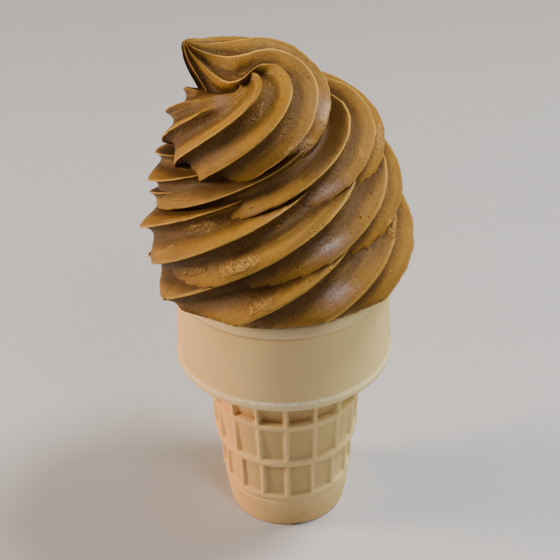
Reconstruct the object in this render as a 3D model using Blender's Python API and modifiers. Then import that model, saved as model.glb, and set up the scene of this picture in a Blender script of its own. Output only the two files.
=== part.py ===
"""A soft serve cone: a flat-bottomed wafer cup, filled and topped with a piped chocolate swirl.

The cup stands on its own flat foot at z = 0, with its axis on +Z. The swirl is one rope of
cream with a star section, laid round and up in a coil. The star never turns with the coil,
so its ridges climb across each turn, and the last half turn is pulled off into a curled tip.
"""

import math
from collections import namedtuple

import bmesh
import bpy
from mathutils import Matrix, Vector

MM = 0.001
GAP = 0.3 * MM
SHARP_ANGLE = math.radians(35)

# Wafer cup, driving sizes
CUP_HEIGHT = 82.0 * MM
COLLAR_RADIUS = 30.9 * MM
BEAD_RADIUS = 31.5 * MM
BEAD_HEIGHT = 55.4 * MM
FOOT_RADIUS = 17.5 * MM
WALL = 1.9 * MM
FLOOR_THICKNESS = 2.6 * MM
TURN_STEPS = 48

# Wafer cup, collar
LIP_RADIUS = COLLAR_RADIUS - 0.25 * MM
LIP_DEPTH = 3.9 * MM
LIP_ROUND = 0.9 * MM
LIP_STEP = 0.4 * MM
COLLAR_TOP_RADIUS = COLLAR_RADIUS - 0.75 * MM
COLLAR_INSIDE = COLLAR_RADIUS - WALL - 0.3 * MM
COLLAR_INSIDE_LOW = BEAD_HEIGHT + 2.5 * MM
BEAD_HALF = 1.9 * MM

# Wafer cup, stepped body with two rings, a groove and a plain foot
Tier = namedtuple("Tier", "low high low_radius high_radius")
Ring = namedtuple("Ring", "low high radius")
TIER_HIGH = Tier(41.6 * MM, 52.6 * MM, 22.1 * MM, 23.1 * MM)
TIER_MIDDLE = Tier(27.5 * MM, 40.1 * MM, 21.1 * MM, 21.8 * MM)
TIER_LOW = Tier(11.6 * MM, 25.2 * MM, 19.2 * MM, 19.7 * MM)
RING_HIGH = Ring(40.1 * MM, 41.6 * MM, 22.2 * MM)
RING_LOW = Ring(25.9 * MM, 27.5 * MM, 21.2 * MM)
RING_EDGE = 0.3 * MM
GROOVE_HEIGHT = 10.6 * MM
GROOVE_RADIUS = 18.1 * MM
GROOVE_STEP = 0.7 * MM
FOOT_TOP_RADIUS = 18.5 * MM
FOOT_ROUND = 0.6 * MM
BEHIND_PANELS = 1.0 * MM

# Wafer cup, sunk panels between upright ribs
PanelRow = namedtuple("PanelRow", "tier low high low_depth high_depth")
RIBS = 16
RIB_WIDTH = 1.7 * MM
PANEL_ROWS = (
    PanelRow(TIER_HIGH, 42.2 * MM, 49.0 * MM, 1.25 * MM, 0.5 * MM),
    PanelRow(TIER_MIDDLE, 28.1 * MM, 39.3 * MM, 0.95 * MM, 0.6 * MM),
    PanelRow(TIER_LOW, 13.4 * MM, 24.4 * MM, 0.9 * MM, 0.9 * MM),
)
CUTTER_REACH = 4.0 * MM

# Swirl, its star section and how finely it is made
CRESTS = 9
CREST_DEPTH = 0.22
CREST_SHARPNESS = 0.8
CREST_LEAN = 0.05
VALLEY_PLACE = 0.6
CREST_START = math.radians(-4)
SQUASH = 0.93
RINGS_A_TURN = 48
SLOPE_STEP = 0.002
POINTS_A_CREST = 6
REMESH_SIZE = 0.7 * MM
SWIRL_TRIANGLES = 9500

# Swirl, its coil. Turns count from the left, round by the front; lengths are in millimetres,
# and "unwind" is how far the star has been held back, in degrees, as the tip is pulled off.
Row = namedtuple("Row", "turn radius height rope centre_x centre_y unwind")
COIL = (
    Row(-0.5, 14.0, 76.0, 10.0, 1.0, 0.0, -12),
    Row(-0.25, 20.0, 81.5, 16.5, 1.0, 0.0, -12),
    Row(0.0, 20.5, 85.5, 19.5, 1.0, 0.5, -12),
    Row(0.5, 20.0, 92.5, 18.0, -1.0, -1.0, 0),
    Row(1.0, 20.0, 100.0, 17.0, -2.5, -1.5, 0),
    Row(2.0, 22.5, 111.0, 12.5, -2.0, 6.5, 0),
    Row(3.0, 13.5, 126.5, 14.0, -4.5, 3.0, 12),
    Row(3.25, 11.0, 130.0, 13.5, -8.0, -1.5, 4),
    Row(3.5, 8.5, 132.5, 14.0, -8.5, -1.5, 0),
    Row(3.75, 8.5, 139.5, 12.5, -10.5, -2.0, 20),
    Row(4.0, 12.0, 151.5, 1.5, -11.5, 3.5, 25),
)
TILT = 2.2 * MM
TILT_TOWARDS = math.radians(340)

# Swirl, the cream in the coil's middle and in the cup, and its rest on the rim
CORE_LOW_RADIUS = 22.0 * MM
CORE_HIGH_RADIUS = 6.0 * MM
CORE_LOW = CUP_HEIGHT - 3.0 * MM
CORE_HIGH = 124.0 * MM
CORE_SIDES = 32
FILLING_GAP = 0.5 * MM
FILLING_EDGE = CUP_HEIGHT + 1.0 * MM
FILLING_TOP = CUP_HEIGHT + 4.0 * MM
TRIM_RADIUS = 48.0 * MM
TRIM_LOW = 40.0 * MM
UNDERSIDE_SLOPE = 0.62
RIM_EDGE = 30.2 * MM
Bulge = namedtuple("Bulge", "reach towards width")
RIM_BULGES = (Bulge(6.5 * MM, 205, 22), Bulge(2.0 * MM, 250, 25), Bulge(4.0 * MM, 345, 22))


def clear_scene():
    for obj in list(bpy.data.objects):
        bpy.data.objects.remove(obj)


def new_collection(name):
    collection = bpy.data.collections.new(name)
    bpy.context.scene.collection.children.link(collection)
    return collection


def new_material(name, color, roughness):
    material = bpy.data.materials.new(name)
    material.use_nodes = True
    shader = material.node_tree.nodes["Principled BSDF"]
    shader.inputs["Base Color"].default_value = (*color, 1.0)
    shader.inputs["Roughness"].default_value = roughness
    shader.inputs["Metallic"].default_value = 0.0
    return material


def add_object(name, mesh, collection):
    obj = bpy.data.objects.new(name, mesh)
    collection.objects.link(obj)
    return obj


def add_cutter(name, mesh, collection):
    obj = add_object(name, mesh, collection)
    obj.hide_render = True
    obj.display_type = "WIRE"
    return obj


def settle(obj):
    """Puts the modifiers' result into the object and shades it smooth between its sharp edges."""
    graph = bpy.context.evaluated_depsgraph_get()
    mesh = bpy.data.meshes.new_from_object(obj.evaluated_get(graph), depsgraph=graph)
    mesh.name = obj.name
    obj.modifiers.clear()
    obj.data = mesh
    mesh.shade_smooth()
    mesh.set_sharp_from_angle(angle=SHARP_ANGLE)


def boolean(obj, name, operation, other):
    modifier = obj.modifiers.new(name, "BOOLEAN")
    modifier.operation = operation
    modifier.object = other


def profile_mesh(name, points):
    """An open outline in the XZ plane, given as (radius, height)."""
    mesh = bpy.data.meshes.new(name)
    edges = [(i, i + 1) for i in range(len(points) - 1)]
    mesh.from_pydata([(r, 0.0, z) for r, z in points], edges, [])
    return mesh


def turn(obj):
    """Turns the outline round Z. It runs up the inside and down the outside."""
    screw = obj.modifiers.new("Turn", "SCREW")
    screw.steps = TURN_STEPS
    screw.render_steps = TURN_STEPS
    screw.use_merge_vertices = True
    screw.merge_threshold = 0.00001


def arc(centre, radius, start, end, count):
    """Points on an arc in the outline's plane, angles in degrees from +X towards +Z."""
    points = []
    for i in range(count + 1):
        angle = math.radians(start + (end - start) * i / count)
        points.append((centre[0] + radius * math.cos(angle), centre[1] + radius * math.sin(angle)))
    return points


def cup_outside():
    """The cup's outer outline, from the top of the rim down to the middle of the foot."""
    lip_low = CUP_HEIGHT - LIP_DEPTH
    lip = arc((LIP_RADIUS - LIP_ROUND, CUP_HEIGHT - LIP_ROUND), LIP_ROUND, 90, 0, 3)
    collar = [
        (LIP_RADIUS, lip_low),
        (COLLAR_TOP_RADIUS, lip_low - LIP_STEP),
        (COLLAR_RADIUS, BEAD_HEIGHT + BEAD_HALF),
    ]
    bead = arc((BEAD_RADIUS - BEAD_HALF, BEAD_HEIGHT), BEAD_HALF, 35, -75, 4)
    body = [
        (TIER_HIGH.high_radius, TIER_HIGH.high),
        (TIER_HIGH.low_radius, TIER_HIGH.low),
        (RING_HIGH.radius, RING_HIGH.high - RING_EDGE),
        (RING_HIGH.radius, RING_HIGH.low + RING_EDGE),
        (TIER_MIDDLE.high_radius, TIER_MIDDLE.high),
        (TIER_MIDDLE.low_radius, TIER_MIDDLE.low),
        (RING_LOW.radius, RING_LOW.high - RING_EDGE),
        (RING_LOW.radius, RING_LOW.low + RING_EDGE),
        (TIER_LOW.high_radius, TIER_LOW.high),
        (TIER_LOW.low_radius, TIER_LOW.low),
        (GROOVE_RADIUS, GROOVE_HEIGHT),
        (FOOT_TOP_RADIUS, GROOVE_HEIGHT - GROOVE_STEP),
    ]
    foot = arc((FOOT_RADIUS - FOOT_ROUND, FOOT_ROUND), FOOT_ROUND, 0, -90, 2)
    return lip + collar + bead + body + foot + [(0.0, 0.0)]


def cup_inside(offset):
    """The cup's inner outline, from the middle of its floor up the collar, moved in by an offset."""
    behind = WALL + BEHIND_PANELS + offset
    return [
        (0.0, FLOOR_THICKNESS + offset),
        (FOOT_RADIUS - WALL - offset, FLOOR_THICKNESS + offset),
        (TIER_LOW.high_radius - behind, TIER_LOW.high + offset),
        (TIER_HIGH.low_radius - behind, TIER_HIGH.low + offset),
        (TIER_HIGH.high_radius - behind, TIER_HIGH.high + offset),
        (COLLAR_INSIDE - offset, COLLAR_INSIDE_LOW + offset),
    ]


def add_panel_cutter(bm, row, angle):
    """A wedge that sinks one panel into its tier. Its inner face follows the tier at the row's depths."""
    tier = row.tier
    slope = (tier.high_radius - tier.low_radius) / (tier.high - tier.low)
    wedge = bmesh.ops.create_cube(bm, size=1.0)["verts"]
    for vertex in wedge:
        height, depth = (row.high, row.high_depth) if vertex.co.z > 0 else (row.low, row.low_depth)
        surface = tier.low_radius + slope * (height - tier.low)
        radius = surface - depth if vertex.co.x < 0 else surface + CUTTER_REACH
        half_width = (math.pi * surface / RIBS - RIB_WIDTH / 2) * radius / surface
        side = math.copysign(half_width, vertex.co.y)
        vertex.co = Vector((math.sqrt(radius**2 - side**2), side, height))
    bmesh.ops.rotate(bm, verts=wedge, matrix=Matrix.Rotation(angle, 3, "Z"))


def make_cup(parts, cutters):
    """The wafer cup: a turned wall with rows of sunk panels."""
    outline = cup_inside(0.0) + [(COLLAR_INSIDE, CUP_HEIGHT - LIP_STEP)] + cup_outside()
    cup = add_object("wafer_cup", profile_mesh("wafer_cup", outline), parts)
    cup.data.materials.append(new_material("wafer", (0.62, 0.40, 0.17), 0.7))
    turn(cup)

    mesh = bpy.data.meshes.new("panel_cutters")
    bm = bmesh.new()
    for row in PANEL_ROWS:
        for i in range(RIBS):
            add_panel_cutter(bm, row, 2 * math.pi * (i + 0.5) / RIBS)
    bm.to_mesh(mesh)
    bm.free()
    boolean(cup, "Panels", "DIFFERENCE", add_cutter("panel_cutters", mesh, cutters))
    settle(cup)


def coil_values(t):
    """The coil's sizes at a turn, as a smooth curve through the rows of COIL."""
    last = len(COIL) - 1
    row = max(i for i in range(last) if COIL[i].turn <= max(t, COIL[0].turn))
    before, start, end, after = (COIL[min(max(i, 0), last)] for i in (row - 1, row, row + 1, row + 2))
    span = end.turn - start.turn
    u = (t - start.turn) / span
    values = []
    for b, s, e, a in zip(before, start, end, after):
        slope_start = (e - b) / (end.turn - before.turn)
        slope_end = (a - s) / (after.turn - start.turn)
        values.append(
            (2 * u**3 - 3 * u**2 + 1) * s
            + (u**3 - 2 * u**2 + u) * span * slope_start
            + (3 * u**2 - 2 * u**3) * e
            + (u**3 - u**2) * span * slope_end
        )
    return Row(*values)


def coil_centre(t):
    """The middle of the rope at a turn. It starts at the left and runs round by the front."""
    coil = coil_values(t)
    angle = math.pi + 2 * math.pi * t
    x = coil.centre_x + coil.radius * math.cos(angle)
    y = coil.centre_y + coil.radius * math.sin(angle)
    lift = TILT * math.cos(angle - TILT_TOWARDS)
    return Vector((x * MM, y * MM, coil.height * MM + lift))


def star_point(i):
    """The angle and reach of a point on the star section, whose crests lean over the valley below."""
    crest, share = divmod(i / POINTS_A_CREST, 1.0)
    wave = math.sin(math.pi * share)
    skewed = share + (VALLEY_PLACE - 0.5) * wave - CREST_LEAN * (1 - wave) ** 2
    return 2 * math.pi * (crest + skewed) / CRESTS, 1 - CREST_DEPTH * wave**CREST_SHARPNESS


def rope_ring(t):
    """One section of the rope, as points round its middle."""
    centre = coil_centre(t)
    along = (coil_centre(t + SLOPE_STEP) - coil_centre(t - SLOPE_STEP)).normalized()
    angle = math.pi + 2 * math.pi * t
    outward = Vector((math.cos(angle), math.sin(angle), 0.0))
    up = along.cross(outward).normalized()
    up = up if up.z > 0 else -up
    outward = (outward - along * outward.dot(along)).normalized()
    coil = coil_values(t)
    turned = CREST_START + 2 * math.pi * t - math.radians(coil.unwind)
    ring = []
    for i in range(CRESTS * POINTS_A_CREST):
        on_star, share = star_point(i)
        reach = coil.rope * MM * share
        phi = on_star + turned
        ring.append(centre + outward * reach * math.cos(phi) + up * reach * SQUASH * math.sin(phi))
    return ring


def add_rope(bm):
    """The whole rope as one closed tube, ring after ring."""
    first, last = COIL[0].turn, COIL[-1].turn
    rings = round((last - first) * RINGS_A_TURN)
    previous = None
    for i in range(rings + 1):
        ring = [bm.verts.new(point) for point in rope_ring(first + (last - first) * i / rings)]
        count = len(ring)
        if previous:
            for k in range(count):
                bm.faces.new((previous[k], previous[(k + 1) % count], ring[(k + 1) % count], ring[k]))
        else:
            bm.faces.new(reversed(ring))
        previous = ring
    bm.faces.new(previous)


def add_core(bm):
    """A cone of cream up the middle of the coil, where the rope leaves a hollow."""
    cone = bmesh.ops.create_cone(
        bm, cap_ends=True, segments=CORE_SIDES, radius1=CORE_LOW_RADIUS, radius2=CORE_HIGH_RADIUS, depth=1.0
    )
    for vertex in cone["verts"]:
        vertex.co.z = CORE_HIGH if vertex.co.z > 0 else CORE_LOW


def melt_together(obj):
    """Joins the rope's turns and the core into one skin, and thins it out."""
    remesh = obj.modifiers.new("Melt together", "REMESH")
    remesh.mode = "VOXEL"
    remesh.voxel_size = REMESH_SIZE
    settle(obj)
    obj.data.calc_loop_triangles()
    thin = obj.modifiers.new("Thin out", "DECIMATE")
    thin.ratio = SWIRL_TRIANGLES / len(obj.data.loop_triangles)
    settle(obj)


def rim_edge(angle):
    """How far out the cream lies on the rim. It hangs over it at the left, and less at the right."""
    reach = RIM_EDGE
    for bulge in RIM_BULGES:
        away = (math.degrees(angle) - bulge.towards + 180) % 360 - 180
        reach += bulge.reach * math.exp(-((away / bulge.width) ** 2))
    return reach


def rim_clearance_mesh():
    """The space kept free round the rim and under the cream's bulge, as a ring round the cup."""
    low, rim = TRIM_LOW, CUP_HEIGHT + GAP
    bm = bmesh.new()
    sections = []
    for i in range(TURN_STEPS):
        angle = 2 * math.pi * i / TURN_STEPS
        edge = rim_edge(angle)
        high = rim + (TRIM_RADIUS - edge) * UNDERSIDE_SLOPE
        inside = COLLAR_INSIDE - GAP
        outline = [(inside, low), (inside, rim), (edge, rim), (TRIM_RADIUS, high), (TRIM_RADIUS, low)]
        sections.append([bm.verts.new((r * math.cos(angle), r * math.sin(angle), z)) for r, z in outline])
    for this, following in zip(sections, sections[1:] + sections[:1]):
        for k in range(len(this)):
            bm.faces.new((this[k - 1], this[k], following[k], following[k - 1]))
    bmesh.ops.recalc_face_normals(bm, faces=bm.faces)
    mesh = bpy.data.meshes.new("rim_clearance")
    bm.to_mesh(mesh)
    bm.free()
    return mesh


def make_swirl(parts, cutters):
    """The soft serve: the rope, melted together, on the cream that fills the cup."""
    mesh = bpy.data.meshes.new("soft_serve")
    bm = bmesh.new()
    add_rope(bm)
    add_core(bm)
    bmesh.ops.recalc_face_normals(bm, faces=bm.faces)
    bm.to_mesh(mesh)
    bm.free()
    swirl = add_object("soft_serve", mesh, parts)
    mesh.materials.append(new_material("chocolate_soft_serve", (0.26, 0.12, 0.035), 0.42))
    melt_together(swirl)

    outline = cup_inside(FILLING_GAP) + [(COLLAR_INSIDE - FILLING_GAP, FILLING_EDGE), (0.0, FILLING_TOP)]
    filling = add_cutter("cup_filling", profile_mesh("cup_filling", outline), cutters)
    turn(filling)
    boolean(swirl, "Filling", "UNION", filling)

    rim = add_cutter("rim_clearance", rim_clearance_mesh(), cutters)
    boolean(swirl, "Rim", "DIFFERENCE", rim)
    settle(swirl)


def main():
    clear_scene()
    parts = new_collection("soft_serve_cone")
    cutters = new_collection("cutters")
    make_cup(parts, cutters)
    make_swirl(parts, cutters)


main()
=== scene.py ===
"""The looks of a soft serve cone: a wafer cup with a waffled body and a piped chocolate swirl.

The cup and the swirl each follow a rule, so Geometry Nodes sweep them: the cup from its turned
outline with its sunk panels, and the swirl from a star section that is carried along a coil.
"""

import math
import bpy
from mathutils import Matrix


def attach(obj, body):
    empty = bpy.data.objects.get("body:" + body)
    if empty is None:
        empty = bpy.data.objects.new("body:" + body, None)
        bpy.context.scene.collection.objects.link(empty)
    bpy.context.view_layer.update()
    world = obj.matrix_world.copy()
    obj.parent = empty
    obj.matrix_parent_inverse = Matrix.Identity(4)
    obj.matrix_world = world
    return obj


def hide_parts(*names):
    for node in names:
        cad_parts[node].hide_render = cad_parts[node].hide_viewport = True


bl_info = {
    "name": "Soft Serve Cone",
    "version": (1, 0, 0),
    "blender": (4, 5, 0),
    "location": "3D View > Sidebar > Soft Serve",
    "description": "A wafer cup with a piped soft serve swirl, on a plain floor",
    "category": "Add Mesh",
}

from collections import namedtuple

import bmesh
import bpy
import numpy as np
from mathutils import Vector
from mathutils.bvhtree import BVHTree

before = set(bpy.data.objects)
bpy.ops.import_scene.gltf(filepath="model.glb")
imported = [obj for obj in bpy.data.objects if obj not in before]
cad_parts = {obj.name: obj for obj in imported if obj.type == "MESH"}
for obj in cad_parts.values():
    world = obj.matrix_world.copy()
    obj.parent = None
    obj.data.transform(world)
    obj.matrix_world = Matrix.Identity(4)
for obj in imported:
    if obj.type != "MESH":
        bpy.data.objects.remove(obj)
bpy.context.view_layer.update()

MM = 0.001

# Points this close, in millimetres, are merged at the seam and the poles
MERGE_WITHIN = 0.004

# The photograph's view: where the part's origin lies for a camera that looks down and is slightly rolled
VIEW_LENS = 90.0
VIEW_SENSOR = 36.0
VIEW_PITCH = math.radians(32.11)
VIEW_ROLL = math.radians(-1.5)
VIEW_ORIGIN = Vector((2.46, -65.86, -443.7)) * MM
VIEW_PIXELS = 560
VIEW_SCALE = VIEW_PIXELS * VIEW_LENS / VIEW_SENSOR

# The cup's outline, in millimetres. A setback is how far a point stands in from the collar's outside
LIP_HEIGHT = 3.9
LIP_ROUND = 0.9
LIP_SETBACK = 0.3
LIP_FOOT_SETBACK = 0.25
LIP_STEP = 0.4
COLLAR_TOP_SETBACK = 0.75
COLLAR_FOOT_SETBACK = 0.05
BEAD_HALF = 1.9
RING_EDGE = 0.3
RING_HIGH_RADIUS = 22.3
RING_LOW_RADIUS = 21.3
RING_LOW_EDGE = 0.7
GROOVE_RADIUS = 18.2
GROOVE_DROP = 1.0
FOOT_TOP_RADIUS = 18.7
FOOT_TOP_DROP = 1.7
FOOT_ROUND = 0.6
Tier = namedtuple("Tier", "low high low_radius high_radius")
TIER_HIGH = Tier(41.6, 52.6, 22.1, 23.1)
TIER_MIDDLE = Tier(27.5, 40.1, 21.1, 21.8)
TIER_LOW = Tier(11.6, 25.2, 19.2, 19.7)
PanelRow = namedtuple("PanelRow", "name low high low_depth high_depth")
ROW_LABELS = ("Low", "High", "Low Depth", "High Depth")
PANEL_ROWS = (
    PanelRow("High", 41.7, 50.5, 1.7, 0.35),
    PanelRow("Middle", 28.1, 39.3, 1.05, 0.5),
    PanelRow("Low", 13.4, 24.4, 1.0, 0.8),
)

# The cup's inside, in millimetres, which the cream hides
FLOOR_THICKNESS = 2.6
COLLAR_INSET = 0.3
BEHIND_PANELS = 1.0
ABOVE_BEAD = 2.5
BEVEL_LOW = 1.6
BEVEL_HIGH = 0.4
BEVEL_WIDTH = 0.5

# How the cup's outline is turned into rings: even and softened, with fewer rings on the plain collar, from so
# many millimetres above the bead up to so many below the top
OUTLINE_SPACING = 0.35
OUTLINE_SOFTENINGS = 2
COLLAR_THINNING = 5
PLAIN_ABOVE_BEAD = 4.0
PLAIN_BELOW_TOP = 6.0
RIM_RINGS = 12

# The swirl's coil, as it is in the solids: turns from the left by the front, lengths in millimetres,
# and how far the star is held back, in degrees, as the tip is pulled off
Row = namedtuple("Row", "turn radius height rope centre_x centre_y unwind")
COIL = (
    Row(-0.5, 14.0, 76.0, 10.0, 1.0, 0.0, -12),
    Row(-0.25, 20.0, 81.5, 16.5, 1.0, 0.0, -12),
    Row(0.0, 20.5, 85.5, 19.5, 1.0, 0.5, -12),
    Row(0.5, 20.0, 92.5, 18.0, -1.0, -1.0, 0),
    Row(1.0, 20.0, 100.0, 17.0, -2.5, -1.5, 0),
    Row(2.0, 22.5, 111.0, 12.5, -2.0, 6.5, 0),
    Row(3.0, 13.5, 126.5, 14.0, -4.5, 3.0, 12),
    Row(3.25, 11.0, 130.0, 13.5, -8.0, -1.5, 4),
    Row(3.5, 8.5, 132.5, 14.0, -8.5, -1.5, 0),
    Row(3.75, 8.5, 139.5, 12.5, -10.5, -2.0, 20),
    Row(4.0, 12.0, 151.5, 1.5, -11.5, 3.5, 25),
)

# The coil leans to one side by COIL_TILT millimetres, and its first crest stands at CREST_START. Its direction is
# taken over COIL_STEP of a turn each way, and TIP_RINGS rings close its end
COIL_TILT = 2.2
COIL_TILT_TOWARDS = math.radians(340)
COIL_STEP = 0.002
CREST_START = math.radians(2)
TIP_RINGS = 5

# Where the rope is pressed flat against the turn beside it, in turns
PRESSED_TURN = 3.05
PRESSED_SPREAD = 0.35

# The cream at the rim: it hangs over it in bulges, with a sloping underside that lifts off the rim at the left.
# Cream within SNAP of the rim comes to lie on it. Lengths in millimetres and angles in degrees from +X
Bulge = namedtuple("Bulge", "reach towards width")
RIM_EDGE = 30.2
RIM_BULGES = (Bulge(6.5, 205, 22), Bulge(2.0, 250, 25), Bulge(4.0, 345, 22))
UNDERSIDE_SLOPE = 0.62
UNDERSIDE_LIFT = Bulge(3.5, 190, 40)
SNAP = 1.1
SNAP_REACH = 4
TOUCHING = 0.01

# How the painted shade in the crevices is found: rays from straight up to a little below level, which start and end
# so many millimetres off the surface and count as far as they face it. Only SHELTER_MOST of it is kept
GOLDEN_ANGLE = math.pi * (3.0 - math.sqrt(5.0))
SHELTER_RAYS = 28
SHELTER_DROP = 1.4
SHELTER_START = 0.15
SHELTER_REACH = 14.0
SHELTER_FACING = 0.05
SHELTER_MOST = 0.5

# Places on the swirl, as they stand in the photograph's frame of 560 pixels: their middle, half size and tilt.
# Each marks cream up to PATCH_DEPTH millimetres in front of its middle and behind it
Patch = namedtuple("Patch", "x y across high tilt strength", defaults=(1.0,))
PATCH_DEPTH = 5.0
PATCH_FADE = 1.2
FROTHY = (
    Patch(190, 166, 16, 5, 0),
    Patch(238, 266, 26, 9, -20),
    Patch(194, 271, 18, 5, 5),
    Patch(203, 227, 24, 8, -5, 0.7),
    Patch(380, 136, 5, 22, 0, 0.8),
    Patch(392, 228, 8, 12, 0, 0.8),
    Patch(262, 302, 22, 12, -20, 0.8),
    Patch(325, 118, 8, 26, 10, 0.6),
    Patch(296, 150, 24, 8, -30, 0.8),
    Patch(360, 155, 14, 12, 0, 0.5),
)
# Shiny patches: they get a real coat, and a painted sheen coloured into them
GLOSS_AND_PAINTED_SHEEN = (
    Patch(330, 249, 24, 8, -28),
    Patch(336, 298, 20, 9, -28),
    Patch(324, 111, 8, 18, 10),
    Patch(262, 214, 15, 4, 5),
    Patch(221, 101, 9, 9, -30),
    Patch(306, 145, 8, 8, 0),
    Patch(325, 194, 26, 6, -25, 0.8),
)

Lamp = namedtuple("Lamp", "name place size energy color")
LAMPS = (
    Lamp("overhead", (0.40, 0.08, 0.90), 0.28, 10.4, (1.0, 0.98, 0.96)),
    Lamp("window", (0.30, -0.58, 0.76), 0.24, 3.4, (0.84, 0.84, 1.0)),
    Lamp("right side", (0.94, 0.30, 0.27), 0.30, 3.2, (1.0, 0.97, 0.82)),
    Lamp("left side", (-0.90, 0.0, 0.38), 0.35, 13.8, (1.0, 0.80, 0.58)),
)
LAMP_TARGET = Vector((0.0, 0.0, 0.08))
SKY_COLOR = (0.93, 0.95, 1.0)


class CupSizes(bpy.types.PropertyGroup):
    """Sizes and colours of the wafer cup."""

    height: bpy.props.FloatProperty(
        name="Height", description="From the foot to the top of the rim", default=0.082, unit="LENGTH"
    )
    collar_radius: bpy.props.FloatProperty(
        name="Collar Radius", description="Outside of the smooth collar", default=0.0309, unit="LENGTH"
    )
    bead_radius: bpy.props.FloatProperty(
        name="Bead Radius", description="Outside of the bead under the collar", default=0.0315, unit="LENGTH"
    )
    bead_height: bpy.props.FloatProperty(
        name="Bead Height", description="Middle of the bead above the foot", default=0.0554, unit="LENGTH"
    )
    foot_radius: bpy.props.FloatProperty(
        name="Foot Radius", description="Outside of the flat foot", default=0.0175, unit="LENGTH"
    )
    wall: bpy.props.FloatProperty(name="Wall", description="Thickness of the wafer", default=0.0019, unit="LENGTH")
    ribs: bpy.props.IntProperty(name="Ribs", description="Upright ribs round the body", default=16, min=3)
    rib_width: bpy.props.FloatProperty(
        name="Rib Width", description="Width of an upright rib", default=0.0016, unit="LENGTH"
    )
    columns_a_rib: bpy.props.IntProperty(
        name="Columns a Rib", description="Mesh columns from rib to rib", default=20, min=4
    )
    pale: bpy.props.FloatVectorProperty(
        name="Pale Wafer", description="Colour of the collar", default=(0.64, 0.45, 0.19), subtype="COLOR"
    )
    baked: bpy.props.FloatVectorProperty(
        name="Baked Wafer", description="Colour of the body", default=(0.58, 0.37, 0.14), subtype="COLOR"
    )
    # Dark baked brown, also the colour of painted shade deep in the sunk panels and in a line under the lip
    toasted_and_shade: bpy.props.FloatVectorProperty(
        name="Toasted Wafer", description="Colour of hollows and edges", default=(0.30, 0.13, 0.03), subtype="COLOR"
    )
    # Partly uneven browning, partly painted light: the left side is coloured browner and brighter, as if lit by a warm
    # lamp
    browned_and_warm_lit: bpy.props.FloatVectorProperty(
        name="Browned Side", description="Colour of the side baked most", default=(0.82, 0.41, 0.13), subtype="COLOR"
    )
    # Painted light: the right side is coloured yellower and brighter, as if lit by a yellow lamp
    yellowed_and_lit: bpy.props.FloatVectorProperty(
        name="Yellow Side", description="Colour of the side baked least", default=(0.76, 0.64, 0.23), subtype="COLOR"
    )
    # Painted highlight: the raised ribs and rings are coloured lighter
    rib: bpy.props.FloatVectorProperty(
        name="Ribs' Colour", description="Colour of ribs and rings", default=(0.74, 0.53, 0.24), subtype="COLOR"
    )
    # Painted shade: the sunk panels are coloured darker than the ribs
    panel: bpy.props.FloatVectorProperty(
        name="Panels' Colour", description="Colour of the sunk panels", default=(0.44, 0.31, 0.13), subtype="COLOR"
    )
    lip: bpy.props.FloatVectorProperty(
        name="Lip's Colour", description="Colour of the lip and the bead", default=(0.70, 0.60, 0.36), subtype="COLOR"
    )
    # Painted highlight: a light line along the top of the bead
    bead_painted_highlight: bpy.props.FloatVectorProperty(
        name="Bead's Edge", description="Colour of the line on the bead", default=(0.86, 0.76, 0.50), subtype="COLOR"
    )
    chipped: bpy.props.FloatVectorProperty(
        name="Chip", description="Colour of the chip under the foot", default=(0.06, 0.035, 0.012), subtype="COLOR"
    )


class SwirlSizes(bpy.types.PropertyGroup):
    """Sizes and colours of the soft serve."""

    crests: bpy.props.IntProperty(name="Crests", description="Points of the nozzle's star", default=9, min=3)
    points_a_crest: bpy.props.IntProperty(
        name="Points a Crest", description="Mesh points from crest to crest", default=12, min=4
    )
    rings_a_turn: bpy.props.IntProperty(
        name="Rings a Turn", description="Sections along each turn of the coil", default=150, min=24
    )
    crest_depth: bpy.props.FloatProperty(
        name="Crest Depth", description="Depth of the valleys, as a share of the rope", default=0.25
    )
    crest_sharpness: bpy.props.FloatProperty(
        name="Crest Sharpness", description="Lower is sharper at the crest", default=0.85
    )
    squash: bpy.props.FloatProperty(
        name="Squash", description="Height of the rope over its width", default=0.93
    )
    rim_clearance: bpy.props.FloatProperty(
        name="Rim Clearance", description="Gap between the cream and the rim", default=0.0003, unit="LENGTH"
    )
    cream: bpy.props.FloatVectorProperty(
        name="Cream", description="Main colour of the cream", default=(0.26, 0.121, 0.009), subtype="COLOR"
    )
    # Light streaks in the cream, and the painted highlight along the crests
    crest_highlight_and_streaks: bpy.props.FloatVectorProperty(
        name="Crest", description="Colour along the crests", default=(0.58, 0.33, 0.06), subtype="COLOR"
    )
    # Dark cream in the pits, also the colour of painted shade under the crests, in the valleys and in the crevices
    hollow_and_shade: bpy.props.FloatVectorProperty(
        name="Hollow", description="Colour deep in the valleys and pits", default=(0.072, 0.030, 0.003), subtype="COLOR"
    )
    froth: bpy.props.FloatVectorProperty(
        name="Froth", description="Colour of torn, airy cream", default=(0.52, 0.285, 0.07), subtype="COLOR"
    )
    # Painted sheen: a lilac-grey reflection coloured into the shiny patches
    painted_sheen: bpy.props.FloatVectorProperty(
        name="Melted", description="Colour of shiny, melted cream", default=(0.33, 0.22, 0.19), subtype="COLOR"
    )


class StageSettings(bpy.types.PropertyGroup):
    """Floor and light."""

    floor: bpy.props.FloatVectorProperty(
        name="Floor", description="Colour of the floor", default=(0.49, 0.484, 0.482), subtype="COLOR"
    )
    floor_radius: bpy.props.FloatProperty(
        name="Floor Radius", description="Size of the floor", default=2.5, unit="LENGTH"
    )
    daylight: bpy.props.FloatProperty(name="Daylight", description="Strength of the light all round", default=0.085)


def named_input(inputs, key):
    """The shown socket of this name, or of this place in the list."""
    if isinstance(key, int):
        return inputs[key]
    return next(socket for socket in inputs if socket.name == key and socket.enabled)


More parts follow.
